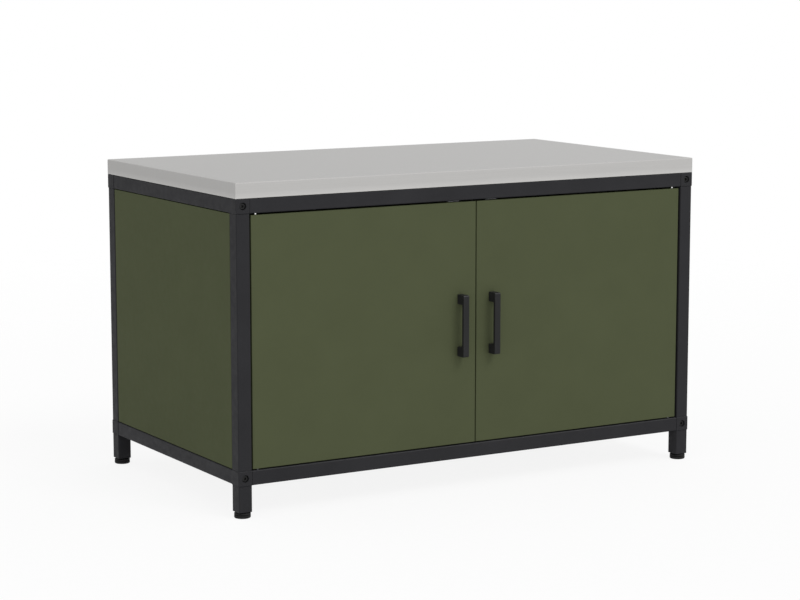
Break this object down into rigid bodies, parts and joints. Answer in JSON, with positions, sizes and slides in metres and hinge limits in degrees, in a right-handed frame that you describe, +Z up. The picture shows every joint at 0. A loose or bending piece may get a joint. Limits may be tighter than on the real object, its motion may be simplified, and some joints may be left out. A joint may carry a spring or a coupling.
{
  "type": "kitchen storage cabinet",
  "caption": "Low free-standing kitchen cabinet: stainless worktop on a black square-tube frame, inset olive-green doors on pivots, bar handles, inner shelf and levelling feet.",
  "frame": {"origin": "middle of the whole part's box, on the floor under the feet", "axes": "+X to the right along the front, +Y from the doors to the back, +Z up"},
  "size_m": [1.505, 0.862, 0.904],
  "materials": {
    "frame_black": "fine matt powder coat",
    "screw_black": "black oxide",
    "olive_green": "matt olive-green lacquer on board",
    "inner_board": "warm grey melamine on board",
    "core_board": "raw particle board",
    "stainless": "fine brushed stainless",
    "zinc_steel": "zinc plated",
    "handle_black": "matt black powder coat",
    "foot_black": "black coated steel",
    "bright_steel": "nickel plated steel",
    "black_plastic": "moulded black plastic"
  },
  "bodies": {
    "cabinet": {"corner_bottom_front_left": "frame_black", "corner_bottom_front_right": "frame_black", "corner_bottom_rear_left": "frame_black", "corner_bottom_rear_right": "frame_black", "corner_screws": "screw_black", "corner_top_front_left": "frame_black", "corner_top_front_right": "frame_black", "corner_top_rear_left": "frame_black", "corner_top_rear_right": "frame_black", "floor_board": "inner_board", "floor_cleats": "zinc_steel", "hinge_pins": "zinc_steel", "leg_front_left": "frame_black", "leg_front_right": "frame_black", "leg_plugs": "black_plastic", "leg_rear_left": "frame_black", "leg_rear_right": "frame_black", "magnet_catches": "black_plastic", "panel_back": "olive_green", "panel_cleats": "zinc_steel", "panel_left": "olive_green", "panel_right": "olive_green", "post_front_left": "frame_black", "post_front_right": "frame_black", "post_rear_left": "frame_black", "post_rear_right": "frame_black", "rail_bottom_front": "frame_black", "rail_bottom_left": "frame_black", "rail_bottom_rear": "frame_black", "rail_bottom_right": "frame_black", "rail_inserts": "zinc_steel", "rail_top_front": "frame_black", "rail_top_left": "frame_black", "rail_top_rear": "frame_black", "rail_top_right": "frame_black", "shelf": "inner_board", "shelf_brackets": "zinc_steel", "worktop_core": "core_board", "worktop_screws": "zinc_steel", "worktop_skin": "stainless"},
    "left_door": {"door_left": "olive_green", "handle_left": "handle_black", "handle_screws_left": "zinc_steel", "hinge_bushes_left": "bright_steel", "strike_plate_left": "zinc_steel"},
    "right_door": {"door_right": "olive_green", "handle_right": "handle_black", "handle_screws_right": "zinc_steel", "hinge_bushes_right": "bright_steel", "strike_plate_right": "zinc_steel"},
    "foot_pad_front_left": {"foot_pad_front_left": "foot_black"},
    "foot_pad_front_right": {"foot_pad_front_right": "foot_black"},
    "foot_pad_rear_left": {"foot_pad_rear_left": "foot_black"},
    "foot_pad_rear_right": {"foot_pad_rear_right": "foot_black"},
    "foot_stud_front_left": {"foot_stud_front_left": "zinc_steel"},
    "foot_stud_front_right": {"foot_stud_front_right": "zinc_steel"},
    "foot_stud_rear_left": {"foot_stud_rear_left": "zinc_steel"},
    "foot_stud_rear_right": {"foot_stud_rear_right": "zinc_steel"}
  },
  "joints": [
    {"name": "door_left_swing", "type": "hinge", "parent": "cabinet", "child": "left_door", "pos_m": [-0.687, -0.388, 0.474], "axis": [0, 0, -1], "range_deg": [0, 105]},
    {"name": "door_right_swing", "type": "hinge", "parent": "cabinet", "child": "right_door", "pos_m": [0.687, -0.388, 0.474], "axis": [0, 0, 1], "range_deg": [0, 105]},
    {"name": "foot_front_left_height", "type": "slide", "parent": "cabinet", "child": "foot_pad_front_left", "axis": [0, 0, -1], "range_m": [0, 0.02]},
    {"name": "foot_front_left_screw", "type": "hinge", "parent": "foot_pad_front_left", "child": "foot_stud_front_left", "pos_m": [-0.73, -0.3815, 0.01], "axis": [0, 0, -1], "range_deg": [0, 4800]},
    {"name": "foot_front_right_height", "type": "slide", "parent": "cabinet", "child": "foot_pad_front_right", "axis": [0, 0, -1], "range_m": [0, 0.02]},
    {"name": "foot_front_right_screw", "type": "hinge", "parent": "foot_pad_front_right", "child": "foot_stud_front_right", "pos_m": [0.73, -0.3815, 0.01], "axis": [0, 0, -1], "range_deg": [0, 4800]},
    {"name": "foot_rear_left_height", "type": "slide", "parent": "cabinet", "child": "foot_pad_rear_left", "axis": [0, 0, -1], "range_m": [0, 0.02]},
    {"name": "foot_rear_left_screw", "type": "hinge", "parent": "foot_pad_rear_left", "child": "foot_stud_rear_left", "pos_m": [-0.73, 0.4085, 0.01], "axis": [0, 0, -1], "range_deg": [0, 4800]},
    {"name": "foot_rear_right_height", "type": "slide", "parent": "cabinet", "child": "foot_pad_rear_right", "axis": [0, 0, -1], "range_m": [0, 0.02]},
    {"name": "foot_rear_right_screw", "type": "hinge", "parent": "foot_pad_rear_right", "child": "foot_stud_rear_right", "pos_m": [0.73, 0.4085, 0.01], "axis": [0, 0, -1], "range_deg": [0, 4800]}
  ],
  "couplings": [
    {"joint": "foot_front_left_screw", "follows": "foot_front_left_height", "rad_per_m": 4188.8},
    {"joint": "foot_front_right_screw", "follows": "foot_front_right_height", "rad_per_m": 4188.8},
    {"joint": "foot_rear_left_screw", "follows": "foot_rear_left_height", "rad_per_m": 4188.8},
    {"joint": "foot_rear_right_screw", "follows": "foot_rear_right_height", "rad_per_m": 4188.8}
  ]
}
